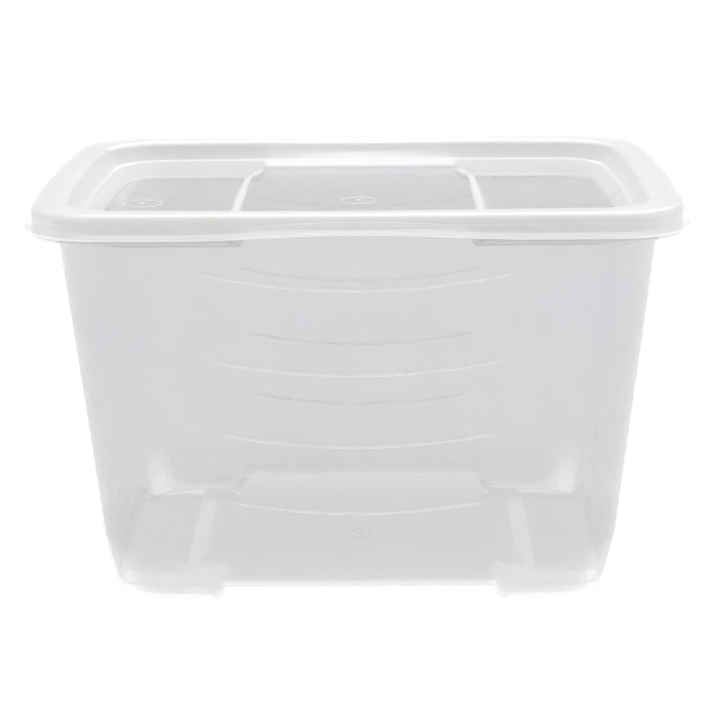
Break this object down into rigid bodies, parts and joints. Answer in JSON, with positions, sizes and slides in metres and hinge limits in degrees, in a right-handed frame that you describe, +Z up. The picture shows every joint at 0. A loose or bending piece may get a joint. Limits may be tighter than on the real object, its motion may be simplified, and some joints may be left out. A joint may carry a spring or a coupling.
{
  "type": "stackable storage bin",
  "caption": "Clear rectangular storage tub on hollow corner feet, with curved ribs on its long walls and a lift-off lid recessed for stacking.",
  "frame": {"origin": "on the floor under the middle of the bin", "axes": "+X along the long side, +Y towards the back, +Z up"},
  "size_m": [0.48, 0.37, 0.3],
  "materials": {
    "tub_plastic": "translucent natural polypropylene, glossy",
    "lid_plastic": "translucent natural polypropylene, glossy"
  },
  "bodies": {
    "tub": {"tub": "tub_plastic"},
    "lid": {"lid": "lid_plastic"}
  },
  "joints": [
    {"name": "lid_lift", "type": "slide", "parent": "tub", "child": "lid", "axis": [0, 0, 1], "range_m": [0, 0.3]}
  ]
}
